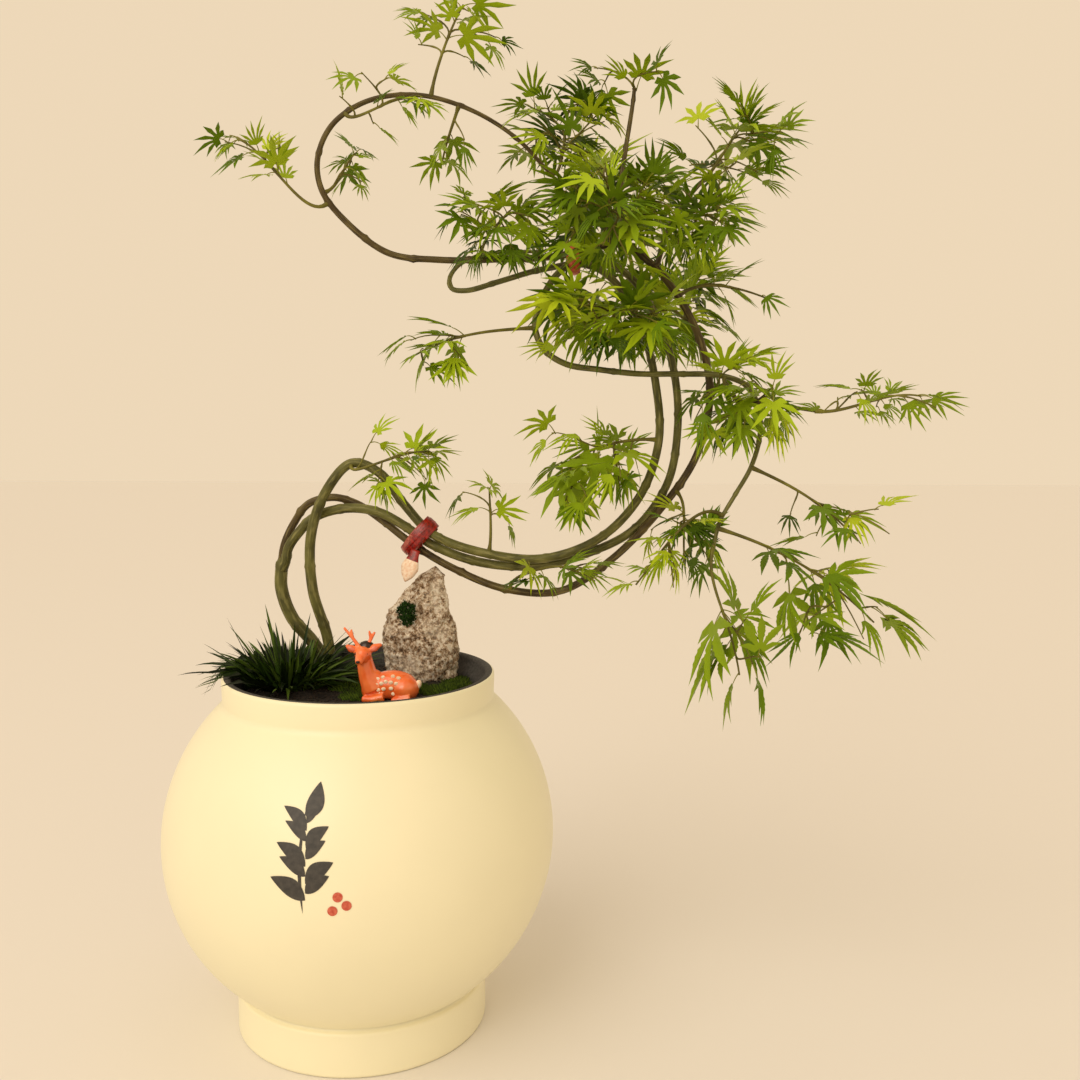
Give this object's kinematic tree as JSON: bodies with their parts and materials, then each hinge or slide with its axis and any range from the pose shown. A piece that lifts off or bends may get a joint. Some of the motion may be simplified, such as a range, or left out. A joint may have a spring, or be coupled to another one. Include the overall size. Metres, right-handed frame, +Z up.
{
  "type": "potted japanese maple",
  "caption": "Potted ornamental maple with long looping stems tied in a bundle, an open crown of lobed leaves, and a round pot holding a stone, a small figure and a grass tuft.",
  "frame": {"origin": "middle of the pot's flat underside", "axes": "+Z up, -Y is the plant's front, +X is the side that the stems lean to"},
  "size_m": [0.5186, 0.2598, 0.6805],
  "materials": {
    "glazed_pot": "cream satin glaze",
    "mossy_soil": "damp potting soil with moss",
    "stone": "rough pebbly stone",
    "glossy_orange": "glossy orange glaze",
    "grass": "dark green blades",
    "tie": "soft red strap",
    "bark": "smooth olive brown bark",
    "leaves": "soft green leaf blades"
  },
  "bodies": {
    "root": {"pot": "glazed_pot", "soil": "mossy_soil", "stone": "stone", "deer_ornament": "glossy_orange", "front_stem_rise": "bark", "front_stem_fall": "bark", "front_stem_sweep": "bark", "front_stem_climb": "bark", "lower_loop_turn": "bark", "lower_loop_run": "bark", "drooping_bough": "bark", "left_trunk": "bark", "outer_stem_arch": "bark", "outer_stem_fall": "bark", "outer_stem_sweep": "bark", "outer_stem_climb": "bark", "outer_stem_turn": "bark", "big_loop_base": "bark", "big_loop_side": "bark", "big_loop_top": "bark", "big_loop_end": "bark", "inner_stem_arch": "bark", "inner_stem_fall": "bark", "inner_stem_sweep": "bark", "inner_stem_climb": "bark", "hook_bough_out": "bark", "hook_bough_back": "bark", "upright_bough": "bark", "upper_right_bough": "bark", "far_right_bough": "bark", "low_tie": "tie", "high_tie": "tie", "grass_tuft": "grass", "apex_spray": "leaves", "far_left_spray": "leaves", "loop_left_spray": "leaves", "loop_inner_spray": "leaves", "loop_top_spray": "leaves", "upper_left_crown": "leaves", "upper_middle_crown": "leaves", "upper_right_crown": "leaves", "left_middle_crown": "leaves", "front_crown": "leaves", "back_crown": "leaves", "right_middle_crown": "leaves", "lower_front_crown": "leaves", "lower_back_crown": "leaves", "right_low_spray": "leaves", "left_low_spray": "leaves", "right_bundle": "leaves", "far_right_spray": "leaves", "inner_left_mass": "leaves", "loop_spray": "leaves", "sweep_spray": "leaves", "low_leaves": "leaves", "between_stems_spray": "leaves", "lower_right_twigs": "leaves", "big_leaf_spray": "leaves", "big_leaf_tip_spray": "leaves", "low_left_twig": "leaves"}
  },
  "joints": []
}
